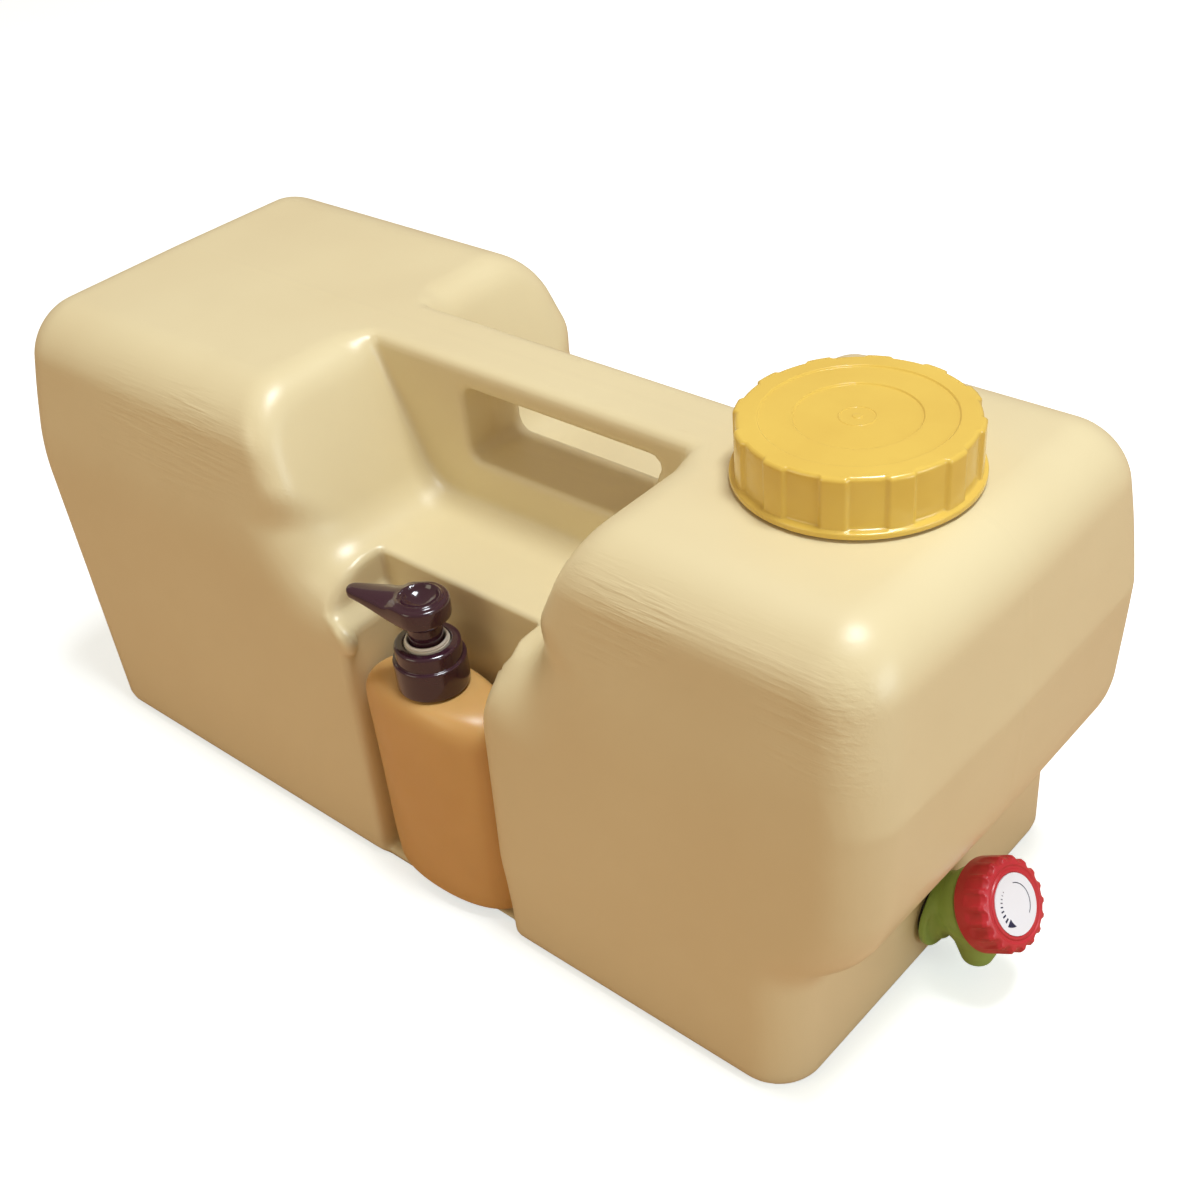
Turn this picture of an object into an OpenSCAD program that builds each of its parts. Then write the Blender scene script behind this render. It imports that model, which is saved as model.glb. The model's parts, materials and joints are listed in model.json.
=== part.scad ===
// Portable handwash tank: a blow-moulded water tank with a carrying handle, a screw cap,
// a pump bottle of soap in a front pocket and a screw-down tap at its right end.
// Frame: origin at the middle of the base, +X towards the tap, -Y the soap side, +Z up. Millimetres.

/* [Tank] */
// Length over the end faces at the crease
tank_l = 550; // [500:1:660]
// Width over the side faces at the crease
tank_w = 224; // [190:1:270]
// Height to the top face
tank_h = 248; // [225:1:300]
// Height of the crease where the sides start to lean in
crease_h = 169; // [155:1:180]
// How far each side leans in from the crease to the top
side_lean = 9.5; // [4:0.5:14]
// How far each side stands out from the crease to the foot
side_draft = 3; // [0:0.5:6]
// How far each end leans in from the crease to the top
end_lean = 5; // [1:0.5:8]
// How far the left end leans in from the crease to the foot
end_draft = 14.5; // [4:0.5:20]
// Radius of the upright corners
corner_r = 23; // [16:1:30]
// Radius of the top edges
top_r = 27; // [18:1:32]
// Radius of the lower edge of the overhang
lip_r = 14; // [8:1:18]
// Wall thickness
wall = 3.5; // [2.5:0.1:4.5]

/* [Saddle and handle] */
// Middle of the saddle, handle and soap pocket along the length
saddle_x = 26.5; // [10:0.5:40]
// Width of the saddle at the top
saddle_w = 199; // [170:1:230]
// Width of the saddle at its floor
floor_w = 130; // [120:1:150]
// Radius between the saddle floor and its sloping ends
saddle_r = 26; // [12:1:34]
// Radius of the saddle's upper edges
brow_r = 16; // [6:1:22]
// Width of the handle plate across the tank
plate_w = 38; // [30:1:46]
// Radius of the handle's top edges
grip_r = 9; // [5:0.5:12]
// Thickness of the handle bar over the hand hole
bar_t = 13; // [12:0.5:18]
// Height of the web under the hand hole, above the saddle floor
web_h = 27; // [16:1:32]
// Solid handle root at the left of the hand hole, at the top
root_w = 54; // [30:1:60]
// Gap between the hand hole and the right saddle end, at the top
root_gap = 12; // [8:1:20]

/* [Soap pocket] */
// Width of the soap bottle
bottle_w = 88; // [74:1:100]
// Depth of the soap bottle
bottle_d = 44; // [38:1:50]
// Height of the bottle's shoulder above its foot
bottle_h = 119; // [100:1:130]
// How far the bottle stands proud of the side face
bottle_proud = 7; // [2:1:12]
// Bottle wall thickness
bottle_wall = 1.6; // [1.2:0.1:2.2]
// Gap between the bottle and the sides of the pocket
pocket_gap = 1.5; // [1:0.1:3]
// Gap between the bottle and the back of the pocket
back_gap = 3; // [1.5:0.5:6]
// Thickness of the shelf under the bottle
shelf_t = 5; // [4:0.5:8]
// How far the upper pocket is wider than the lower one, on each side
pocket_flare = 5; // [2:0.5:8]
// Radius of the upright edges of the pocket's mouth
mouth_r = 12; // [6:1:14]
// How far the two retaining nibs reach in from the mouth
nib = 3; // [1.5:0.5:4]

/* [Filler] */
// Outside radius of the filler neck
neck_r = 42; // [34:0.5:42]
// Height of the neck above the top face
neck_h = 20.5; // [18:0.5:26]
// Distance of the neck from the right end face
neck_in = 82; // [78:1:90]
// Outside radius of the cap
cap_r = 48.9; // [48.5:0.1:54]
// Pitch of the cap's thread
cap_pitch = 12; // [8:0.5:13]
// Number of grip grooves round the cap
cap_grooves = 12; // [8:1:18]

/* [Pump] */
// Outside radius of the bottle neck
mouth_neck_r = 13.2; // [12:0.1:14]
// Outside radius of the collar
collar_r = 18; // [17.5:0.1:20]
// Height of the collar
collar_h = 26; // [25:0.5:30]
// Pitch of the collar's thread
collar_pitch = 4; // [3:0.5:5]
// Stroke of the pump
stroke = 10.5; // [8:0.5:11]
// Radius of the pump head
head_r = 12.5; // [11:0.5:14]
// Reach of the nozzle from the pump axis
nozzle_reach = 38; // [30:1:44]
// Turn of the nozzle from the left towards the front, in degrees
nozzle_turn = 18; // [0:1:40]

/* [Tap] */
// Depth of the recess that holds the tap, from the end face
tap_recess = 35; // [28:1:40]
// Height of the recessed wall up to the sloping underside
recess_h = 68; // [64:1:75]
// Height of the tap's inlet
tap_z = 30; // [24:0.5:32]
// Tilt of the tap's axis above level, in degrees
tap_tilt = 32.5; // [28:0.5:36]
// Radius of the tap's flange
flange_r = 20; // [17:0.5:22]
// Radius of the inlet thread
inlet_r = 9; // [7:0.5:10]
// Radius of the spout's bore
spout_bore = 5; // [4:0.25:5.5]
// Radius of the knob
knob_r = 21.7; // [19:0.1:23]
// Depth of the knob
knob_h = 17; // [14:0.5:18]
// Number of scallops round the knob
knob_scallops = 18; // [12:1:24]
// Axial travel of the valve plug over one turn
valve_travel = 4; // [3:0.5:4]

/* [Fits] */
// Running gap between a shaft and its bore
run = 0.06; // [0.03:0.01:0.09]
// Gap between parts that move past each other
gap = 0.35; // [0.3:0.05:0.5]

/* [Hidden] */
$fn = 96;
hull_fn = 32;
eps = 0.01;
far = 400;

sand = "#d9c28c";
ochre = "#d7a94f";
amber = "#c8924f";
plum = "#3a2026";
green = "#8ba55c";
red = "#c8323c";

// Tank
hl = tank_l / 2;
hw = tank_w / 2;
wall_x = hl - tap_recess;
underside_slope = 45;
foot_r = 8;
grow = 1 / cos(atan((saddle_w - floor_w) / 2 / (tank_h - crease_h)));
lean_x = (saddle_w - floor_w) / 2 / (tank_h - crease_h);
hole_top = tank_h - bar_t;
hole_bottom = crease_h + web_h;
hole_r = 7;

// Pocket and bottle
bottle_y = -(hw + bottle_proud - bottle_d / 2);
pocket_y = bottle_y + bottle_d / 2 + back_gap;
pocket_hw = bottle_w / 2 + pocket_gap;
bottle_z = shelf_t + gap;
shoulder_z = bottle_z + bottle_h;
flask_top = shoulder_z + 1.5;
flare_z = shoulder_z + 8;
nib_z = bottle_z + bottle_h - 12;
nib_in = 5.5;
nib_w = 5;
nib_h = 12;

// Filler
neck_x = hl - neck_in;
neck_top = tank_h + neck_h;
ridge = 1.6;
cap_bore = neck_r + ridge + gap;
cap_top_t = 3;
gasket_t = 2.5;
gasket_z = neck_top + gap;
cap_in_z = gasket_z + gasket_t + gap;
cap_top = cap_in_z + cap_top_t;
cap_z = tank_h + 1.2;
cap_flange_t = 2.6;
cap_flange_r = cap_r + 1.7;
cap_step = 1.4;
groove_depth = 2.2;
groove_w = 15.6;
ridge_t = 2;
ridge_z = neck_top - cap_pitch - ridge_t - 2;

// Pump: the stack is built up from the bottle's mouth
collar_z = shoulder_z + 2.6;
collar_top = collar_z + collar_h;
collar_tier = 8;
collar_tier_r = collar_r - 1.6;
collar_t = 2.2;
mouth_top = collar_top - collar_t - gap - 4.4;
mouth_ridge = 0.9;
collar_bore = mouth_neck_r + mouth_ridge + gap;
neck_bore = mouth_neck_r - 2;
gasket2_t = 1.2;
flange2_t = 1.6;
flange2_z = mouth_top + gap + gasket2_t;
cup_in = 8.9;
cup_out = neck_bore - 0.5;
cup_floor_t = 2;
cup_z = collar_top - stroke - 5.5;
skirt_r = cup_in - 0.6;
chamber_in = 6;
chamber_out = 7.5;
chamber_l = 52;
chamber_z = cup_z - chamber_l;
stem_r = 4;
stem_bore = 2;
seat_flange = 1.2;
seat_l = 6;
piston_l = 9;
piston_z = cup_z + cup_floor_t - seat_l - piston_l - gap;
foot_t = 4;
ball_r = 2.4;
valve_r = 1.2;
valve_drop = 2.5;
ball_z = chamber_z + foot_t - valve_drop - valve_r + (ball_r + gap) * sqrt(2);
tube_r = 3;
tube_bore = 2;
ring_r = 10.2;
ring_h = 1.6;
head_z = collar_top + gap + ring_h + stroke + 0.6;
head_h = 12;
spring_turns = 7;
wire_r = 0.5;
spring_r = 4.6;

// Tap: distances along the tilted axis are counted from the recessed wall
washer_t = 2;
flange_t = 4.5;
washer_r = 15;
barrel_end = 27;
barrel_r = 16.5;
chamber_r = 9;
chamber_s = 11;
seat_r = 5;
plug_r = 7.5;
plug_l = 4.5;
bonnet_t = 1.6;
spindle_r = 4;
gland_r = 6;
gland_l = 2.6;
knob_s = barrel_end + bonnet_t + 0.9;
knob_face = knob_s + knob_h;
label_r = 14;
label_t = 0.6;
screw_r = 3.4;
spout_x = wall_x + 23;
spout_z = 9.5;
spout_r = 7.6;
socket_l = 10;
nut_t = 8;
nut_af = 27;
inlet_end = wall_x - wall - nut_t - 4;

// Points of an arc about c from angle a to angle b
function arc(c, r, a, b, n = 8) = [for (i = [0 : n]) let (t = a + (b - a) * i / n) c + r * [cos(t), sin(t)]];

// The arc that rounds corner q of the path p, q, s with radius r
function unit(v) = v / norm(v);
function fillet(p, q, s, r) =
    let (u = unit(p - q),
         v = unit(s - q),
         half = acos(u * v) / 2,
         m = unit(u + v),
         c = q + m * r / sin(half),
         t0 = q + u * r / tan(half) - c,
         t1 = q + v * r / tan(half) - c,
         a = atan2(t0[1], t0[0]),
         turn = atan2(t1[1], t1[0]) - a,
         b = a + (turn > 180 ? turn - 360 : turn < -180 ? turn + 360 : turn))
    arc(c, r, a, b);

// A closed outline whose corners carry a radius each: entries are [x, y, r]
function rounded(pts) = [for (i = [0 : len(pts) - 1])
    let (n = len(pts),
         q = [pts[i][0], pts[i][1]],
         p = pts[(i + n - 1) % n],
         s = pts[(i + 1) % n])
    each pts[i][2] > 0 ? fillet([p[0], p[1]], q, [s[0], s[1]], pts[i][2]) : [q]];

// An outline in X and Z, carried across the whole tank along Y
module across(pts, y0, y1)
    translate([0, y1, 0])
        rotate([90, 0, 0])
            linear_extrude(y1 - y0)
                polygon(pts);

// A ring about Z
module ring(r_out, r_in, h)
    difference() {
        cylinder(h = h, r = r_out);
        translate([0, 0, -1])
            cylinder(h = h + 2, r = r_in);
    }

// Ridges round a neck, one pitch apart, that its screw cap grips
module ridges(r, z, pitch, t, count)
    for (i = [0 : count - 1])
        translate([0, 0, z + i * pitch])
            cylinder(h = t, r = r);

// ---- Tank ----

// The four corners of the plan, inset from both faces
module corners(x0, x1, y)
    for (x = [x0, x1], s = [-1, 1])
        translate([x, s * y, 0])
            children();

// Upper body with the overhang, drawn g inside the outer skin
module upper_body(g)
    hull() {
        $fn = hull_fn;
        corners(-hl + corner_r, hl - corner_r, hw - corner_r)
            translate([0, 0, crease_h])
                cylinder(h = 0.1, r = corner_r - g);
        corners(-hl + end_lean + top_r, hl - end_lean - top_r, hw - side_lean - top_r)
            translate([0, 0, tank_h - top_r])
                sphere(r = top_r - g);
        corners(-hl + end_lean + top_r, hl - end_lean - top_r, hw - side_lean - top_r)
            translate([0, 0, tank_h - g - 1])
                cylinder(h = 1, r = 2);
        corners(wall_x - 10, hl - 5 - lip_r, hw + 1 - lip_r)
            translate([0, 0, recess_h + tap_recess - 5 + lip_r * 0.4])
                sphere(r = lip_r - g);
        corners(wall_x - corner_r - 20, wall_x - corner_r, hw + 1 - corner_r)
            translate([0, 0, recess_h + g])
                cylinder(h = 1, r = corner_r - g);
    }

// Lower body, from the foot to the crease
module lower_body(g)
    hull() {
        $fn = hull_fn;
        corners(-hl + end_draft + corner_r, wall_x - corner_r, hw + side_draft - corner_r)
            translate([0, 0, g])
                cylinder(h = foot_r, r1 = corner_r - foot_r * 0.5 - g, r2 = corner_r - g);
        corners(-hl + corner_r, wall_x - corner_r, hw - corner_r)
            translate([0, 0, crease_h])
                cylinder(h = 0.1, r = corner_r - g);
    }

// The saddle across the top, with its walls moved g into the tank
module saddle(g) {
    top = tank_h + 0.3;
    x0 = saddle_x - saddle_w / 2 - g * grow;
    x1 = saddle_x + saddle_w / 2 + g * grow;
    f0 = saddle_x - floor_w / 2 - g * grow;
    f1 = saddle_x + floor_w / 2 + g * grow;
    across(rounded([[x0 - 40, top + 30, 0], [x0 - 40, top, 0], [x0, top, max(brow_r - g, 1)],
                    [f0, crease_h - g, saddle_r], [f1, crease_h - g, saddle_r],
                    [x1, top, max(brow_r - g, 1)], [x1 + 40, top, 0], [x1 + 40, top + 30, 0]]),
           -far / 2, far / 2);
}

// The handle plate that is left standing in the saddle, with its faces moved g inwards
module plate(g)
    translate([saddle_x - saddle_w / 2 - 25, 0, 0])
        rotate([90, 0, 90])
            linear_extrude(saddle_w + 50) {
                w = plate_w / 2 - g;
                r = grip_r - g;
                top = tank_h - g;
                translate([-w, crease_h - 40])
                    square([2 * w, top - r - crease_h + 40]);
                translate([-w + r, crease_h - 40])
                    square([2 * (w - r), top - crease_h + 40]);
                for (s = [-1, 1])
                    translate([s * (w - r), top - r])
                        circle(r = r);
            }

// The hand hole, with its edges moved g outwards
module hand_hole(g) {
    left = saddle_x - saddle_w / 2 + root_w + bar_t * lean_x;
    right = saddle_x + saddle_w / 2 - root_gap - bar_t * lean_x;
    drop = (hole_top - hole_bottom) * lean_x;
    across(rounded([[left - g, hole_top + g, hole_r], [left - g, hole_bottom - g, hole_r + g],
                    [right - drop + g, hole_bottom - g, hole_r + g], [right + g, hole_top + g, hole_r]]),
           -hw, hw);
}

// The soap pocket's plan between two heights, with its walls moved g into the tank
module pocket_slot(half, z0, z1, g) {
    front = -(hw + side_draft + 0.3);
    r = max(mouth_r - g, 1);
    x0 = saddle_x - half - g;
    x1 = saddle_x + half + g;
    translate([0, 0, z0])
        linear_extrude(z1 - z0)
            polygon(rounded([[x0 - 30, front - 20, 0], [x0 - 30, front, 0], [x0, front, r],
                             [x0, pocket_y + g, 10 + g], [x1, pocket_y + g, 10 + g],
                             [x1, front, r], [x1 + 30, front, 0], [x1 + 30, front - 20, 0]]));
}

module pocket(g) {
    pocket_slot(pocket_hw, g > 0 ? -1 : shelf_t, tank_h, g);
    pocket_slot(pocket_hw + pocket_flare, flare_z - g, tank_h, g);
}

// The two nibs on the mouth's edges that keep the bottle from falling forwards
module nibs()
    for (s = [-1, 1])
        translate([saddle_x + s * (pocket_hw + 1.5 - nib / 2), -(hw - nib_in), nib_z])
            cube([3 + nib, nib_w, nib_h], center = true);

// The outside of the tank, or its inside when g is the wall thickness
module skin(g)
    difference() {
        union() {
            upper_body(g);
            lower_body(g);
        }
        difference() {
            saddle(g);
            plate(g);
        }
        hand_hole(g);
        pocket(g);
    }

module tank()
    color(sand)
        difference() {
            union() {
                skin(0);
                nibs();
            }
            skin(wall);
            translate([neck_x, 0, tank_h - 2 * wall])
                cylinder(h = 4 * wall, r = neck_r - wall);
            translate([wall_x - 3 * wall, 0, tap_z])
                rotate([0, 90, 0])
                    cylinder(h = 5 * wall, r = inlet_r + gap);
        }

// ---- Filler ----

// The neck, moulded in with the tank, that the cap screws over
module filler_neck()
    color(sand)
        translate([neck_x, 0, 0])
            difference() {
                union() {
                    translate([0, 0, tank_h])
                        cylinder(h = neck_h, r = neck_r);
                    ridges(neck_r + ridge, ridge_z, cap_pitch, ridge_t, 2);
                }
                translate([0, 0, tank_h - 1])
                    cylinder(h = neck_h + 2, r = neck_r - wall);
            }

module filler_cap()
    color(ochre)
        translate([neck_x, 0, 0])
            difference() {
                union() {
                    translate([0, 0, cap_z])
                        cylinder(h = cap_flange_t, r = cap_flange_r);
                    translate([0, 0, cap_z])
                        cylinder(h = cap_top - cap_z - 2, r = cap_r);
                    translate([0, 0, cap_top - 2 - eps])
                        cylinder(h = 2 + eps, r1 = cap_r, r2 = cap_r - 2);
                }
                for (i = [0 : cap_grooves - 1])
                    rotate([0, 0, i * 360 / cap_grooves])
                        translate([cap_r - groove_depth, -groove_w / 2, cap_z + cap_flange_t])
                            cube([10, groove_w, cap_top]);
                translate([0, 0, cap_top - cap_step])
                    ring(cap_r * 0.8, cap_r * 0.55, 2 * cap_step);
                translate([0, 0, cap_z - 1])
                    cylinder(h = cap_in_z - cap_z + 1, r = cap_bore);
            }

module cap_gasket()
    color("#3b3b3b")
        translate([neck_x, 0, gasket_z])
            ring(cap_bore - gap, neck_r - wall - 1, gasket_t);

// ---- Soap bottle ----

// One oval slice of the bottle, inset from its largest section
module oval(z, inset)
    translate([0, 0, z])
        linear_extrude(1)
            polygon([for (i = [0 : 31])
                [(bottle_w / 2 - inset) * cos(i * 11.25), (bottle_d / 2 - inset) * sin(i * 11.25)]]);

// The bottle's body, drawn g inside its outer skin
module flask(g)
    hull() {
        oval(bottle_z + g, 4 + g);
        oval(bottle_z + 5, g);
        oval(shoulder_z - 16, g);
        translate([0, 0, flask_top - 1 - g])
            cylinder(h = 1, r = mouth_neck_r + 1.3 - g, $fn = hull_fn);
    }

module at_bottle()
    translate([saddle_x, bottle_y, 0])
        children();

module soap_bottle()
    color(amber)
        at_bottle()
            difference() {
                flask(0);
                flask(bottle_wall);
                translate([0, 0, shoulder_z - 6])
                    cylinder(h = 12, r = neck_bore);
            }

// The bottle's mouth, moulded in with it, that the collar screws over
module bottle_neck()
    color(amber)
        at_bottle()
            difference() {
                union() {
                    translate([0, 0, flask_top])
                        cylinder(h = mouth_top - flask_top, r = mouth_neck_r);
                    ridges(mouth_neck_r + mouth_ridge, mouth_top - 8, collar_pitch, mouth_ridge, 2);
                }
                translate([0, 0, flask_top - 1])
                    cylinder(h = mouth_top, r = neck_bore);
            }

// ---- Pump ----

module pump_collar()
    color(plum)
        at_bottle()
            difference() {
                union() {
                    translate([0, 0, collar_z])
                        cylinder(h = collar_h - collar_tier, r = collar_r);
                    translate([0, 0, collar_top - collar_tier - eps])
                        cylinder(h = collar_tier + eps - 1.5, r = collar_tier_r);
                    translate([0, 0, collar_top - 1.5 - eps])
                        cylinder(h = 1.5 + eps, r1 = collar_tier_r, r2 = collar_tier_r - 1.5);
                }
                translate([0, 0, collar_z - 1])
                    cylinder(h = collar_h - collar_t + 1, r = collar_bore);
                translate([0, 0, collar_z])
                    cylinder(h = collar_h + 1, r = cup_out + gap);
            }

module pump_guide_ring()
    color("white")
        at_bottle()
            translate([0, 0, collar_top + gap])
                ring(ring_r, cup_in - gap, ring_h);

module pump_gasket()
    color("#d8d8d8")
        at_bottle()
            translate([0, 0, mouth_top + gap])
                ring(mouth_neck_r, cup_out + 0.2, gasket2_t);

module pump_housing()
    color("#f2f0ea")
        at_bottle()
            difference() {
                union() {
                    translate([0, 0, cup_z])
                        cylinder(h = collar_top + gap - cup_z, r = cup_out);
                    translate([0, 0, flange2_z])
                        cylinder(h = flange2_t, r = mouth_neck_r);
                    translate([0, 0, chamber_z])
                        cylinder(h = chamber_l + eps, r = chamber_out);
                    translate([0, 0, chamber_z - foot_t])
                        cylinder(h = foot_t + eps, r = tube_r + 1.5);
                }
                translate([0, 0, cup_z + cup_floor_t])
                    cylinder(h = collar_h, r = cup_in);
                translate([0, 0, chamber_z + foot_t])
                    cylinder(h = chamber_l, r = chamber_in);
                translate([0, 0, chamber_z + foot_t - valve_drop])
                    cylinder(h = 3, r1 = valve_r, r2 = valve_r + 3);
                translate([0, 0, chamber_z - foot_t - 1])
                    cylinder(h = foot_t + 1, r = tube_r);
                translate([0, 0, chamber_z - 1])
                    cylinder(h = 4, r = valve_r);
            }

module pump_seat()
    color("#e6e2d8")
        at_bottle()
            difference() {
                union() {
                    translate([0, 0, cup_z + cup_floor_t])
                        cylinder(h = seat_flange, r = cup_in - 0.2);
                    translate([0, 0, cup_z + cup_floor_t - seat_l])
                        cylinder(h = seat_l + eps, r = chamber_in);
                }
                translate([0, 0, cup_z - seat_l])
                    cylinder(h = 3 * seat_l, r = stem_r + run);
            }

module dip_tube()
    color("#eeeeee")
        at_bottle()
            translate([0, 0, bottle_z + bottle_wall + 2])
                ring(tube_r, tube_bore, chamber_z - bottle_z - bottle_wall - 2);

module pump_ball()
    color("silver")
        at_bottle()
            translate([0, 0, ball_z])
                sphere(r = ball_r);

// A coil of round wire, its points worked out turn by turn
module coil(r, wire, h, turns, steps = 14, sides = 6) {
    n = turns * steps;
    pts = [for (i = [0 : n], j = [0 : sides - 1])
        let (a = 360 * i / steps,
             b = 360 * j / sides,
             q = r + wire * cos(b))
        [q * cos(a), q * sin(a), wire + (h - 2 * wire) * i / n + wire * sin(b)]];
    sides_faces = [for (i = [0 : n - 1], j = [0 : sides - 1])
        let (k = (j + 1) % sides)
        [i * sides + j, (i + 1) * sides + j, (i + 1) * sides + k, i * sides + k]];
    ends = [[for (j = [0 : sides - 1]) j], [for (j = [sides - 1 : -1 : 0]) n * sides + j]];
    polyhedron(pts, concat(sides_faces, ends), convexity = 6);
}

module pump_spring()
    color("silver")
        at_bottle()
            translate([0, 0, chamber_z + foot_t + 0.55])
                coil(spring_r, wire_r, piston_z - chamber_z - foot_t - 0.85, spring_turns);

module pump_piston()
    color("#fafafa")
        at_bottle()
            translate([0, 0, piston_z])
                difference() {
                    cylinder(h = piston_l, r = chamber_in - run);
                    translate([0, 0, 2])
                        cylinder(h = piston_l, r = stem_r);
                    translate([0, 0, -1])
                        cylinder(h = 4, r = stem_bore);
                }

module pump_stem()
    color("#f2f0ea")
        at_bottle()
            translate([0, 0, piston_z + 2])
                ring(stem_r, stem_bore, head_z + 3 - piston_z - 2);

module pump_head()
    color(plum)
        at_bottle()
            difference() {
                union() {
                    hull() {
                        $fn = hull_fn;
                        translate([0, 0, head_z])
                            cylinder(h = head_h - 2.5, r = head_r);
                        translate([0, 0, head_z + 1])
                            cylinder(h = head_h - 1, r = head_r - 2);
                        rotate([0, 0, 180 + nozzle_turn])
                            translate([nozzle_reach - 4, 0, head_z + head_h - 9])
                                cylinder(h = 6.5, r = 4);
                    }
                }
                translate([0, 0, head_z + head_h + 14])
                    sphere(r = 17.5);
                translate([0, 0, head_z - 1])
                    cylinder(h = 4, r = stem_r);
                translate([0, 0, head_z])
                    cylinder(h = head_h / 2, r = stem_bore);
                rotate([0, 0, 180 + nozzle_turn])
                    translate([0, 0, head_z + head_h / 2 - 0.5])
                        rotate([0, 90, 0])
                            cylinder(h = nozzle_reach + 5, r = 1.6);
            }

// The head's skirt, moulded in with it, that slides down inside the guide ring
module pump_skirt()
    color(plum)
        at_bottle()
            difference() {
                translate([0, 0, collar_top - 2])
                    cylinder(h = head_z - collar_top + 2, r = skirt_r);
                translate([0, 0, collar_top - 3])
                    cylinder(h = head_z - collar_top + 4, r = stem_r);
            }

// ---- Tap ----

// The tap's tilted axis, standing at distance s from the recessed wall
module on_axis(s)
    translate([wall_x, 0, tap_z])
        rotate([0, 90 - tap_tilt, 0])
            translate([0, 0, s])
                children();

// The inlet's level axis, starting at x
module on_inlet(x)
    translate([x, 0, tap_z])
        rotate([0, 90, 0])
            children();

module tap_body()
    color(green)
        difference() {
            union() {
                on_inlet(wall_x + washer_t)
                    cylinder(h = flange_t, r = flange_r);
                on_inlet(inlet_end)
                    cylinder(h = wall_x + washer_t - inlet_end + eps, r = inlet_r);
                intersection() {
                    on_axis(0)
                        cylinder(h = barrel_end, r1 = 12.5, r2 = barrel_r);
                    translate([wall_x + washer_t + 1, -50, 0])
                        cube(100);
                }
                translate([spout_x, 0, spout_z])
                    cylinder(h = tap_z - spout_z - 0.5, r = spout_r);
            }
            on_axis(chamber_s)
                cylinder(h = barrel_end, r = chamber_r);
            on_inlet(inlet_end - 1)
                cylinder(h = wall_x + 5.5 - inlet_end, r = seat_r);
            on_axis(4)
                cylinder(h = chamber_s, r = seat_r);
            translate([spout_x, 0, spout_z - 1])
                cylinder(h = socket_l + 1, r = spout_bore);
            translate([spout_x, 0, spout_z + socket_l - eps])
                cylinder(h = 2, r = spout_bore + 0.6);
            translate([spout_x, 0, spout_z])
                cylinder(h = tap_z - spout_z + 5, r = spout_bore - 1.5);
        }

module tap_washer()
    color("#2b2b2b")
        on_inlet(wall_x)
            ring(washer_r, inlet_r, washer_t);

module tap_backnut()
    color(green)
        on_inlet(wall_x - wall - nut_t)
            difference() {
                cylinder(h = nut_t, r = nut_af / 2 / cos(30), $fn = 6);
                translate([0, 0, -1])
                    cylinder(h = nut_t + 2, r = inlet_r);
            }

module tap_bonnet()
    color(green)
        on_axis(barrel_end)
            difference() {
                union() {
                    cylinder(h = bonnet_t, r = barrel_r - 1);
                    translate([0, 0, -7])
                        cylinder(h = 7 + eps, r = chamber_r);
                }
                translate([0, 0, -8])
                    cylinder(h = 20, r = spindle_r + run);
                translate([0, 0, -7 - eps])
                    cylinder(h = gland_l, r = gland_r);
            }

module tap_oring()
    color("#2b2b2b")
        on_axis(barrel_end - 7 + gland_l / 2)
            rotate_extrude()
                translate([(gland_r + spindle_r + run) / 2, 0])
                    circle(d = gland_r - spindle_r - run, $fn = 24);

module tap_spindle()
    color("#c9c9c4")
        difference() {
            union() {
                on_axis(chamber_s + plug_l + 2 * gap)
                    cylinder(h = knob_s + 9 - chamber_s - plug_l - 2 * gap, r = spindle_r);
                on_axis(chamber_s + gap + 2)
                    cylinder(h = plug_l, r = 2);
            }
            on_axis(knob_s)
                cylinder(h = 12, r = 1.5);
        }

module tap_valve_plug()
    color("#2b2b2b")
        difference() {
            on_axis(chamber_s + gap)
                cylinder(h = plug_l, r = plug_r);
            on_axis(chamber_s + gap + 1.6)
                cylinder(h = plug_l, r = 2 + gap);
        }

module tap_knob()
    color(red)
        on_axis(knob_s)
            difference() {
                union() {
                    cylinder(h = knob_h - 3, r = knob_r);
                    translate([0, 0, knob_h - 3 - eps])
                        cylinder(h = 3 + eps, r1 = knob_r, r2 = knob_r - 2.5);
                }
                for (i = [0 : knob_scallops - 1])
                    rotate([0, 0, i * 360 / knob_scallops])
                        translate([knob_r + 2.2, 0, knob_h * 0.35])
                            cylinder(h = knob_h, r = 3.4);
                translate([0, 0, knob_h - label_t])
                    cylinder(h = 2, r = label_r);
                translate([0, 0, -1])
                    cylinder(h = 10, r = spindle_r);
                translate([0, 0, 8])
                    cylinder(h = 3, r = 1.5);
                translate([0, 0, 10.5])
                    cylinder(h = knob_h, r = screw_r + gap);
            }

module knob_label()
    color("#f2f0ee")
        on_axis(knob_face - label_t)
            cylinder(h = label_t, r = label_r - 0.15);

module knob_screw()
    color("silver")
        on_axis(knob_s) {
            translate([0, 0, 10.5])
                difference() {
                    cylinder(h = 2.2, r = screw_r);
                    for (a = [0, 90])
                        rotate([0, 0, a])
                            translate([-0.5, -2.2, 1.2])
                                cube([1, 4.4, 2]);
                }
            translate([0, 0, 2])
                cylinder(h = 8.5 + eps, r = 1.5);
        }

tank();
filler_neck();
filler_cap();
cap_gasket();
soap_bottle();
bottle_neck();
pump_collar();
pump_guide_ring();
pump_gasket();
pump_housing();
pump_seat();
dip_tube();
pump_ball();
pump_spring();
pump_piston();
pump_stem();
pump_head();
pump_skirt();
tap_body();
tap_washer();
tap_backnut();
tap_bonnet();
tap_oring();
tap_spindle();
tap_valve_plug();
tap_knob();
knob_label();
knob_screw();
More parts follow.
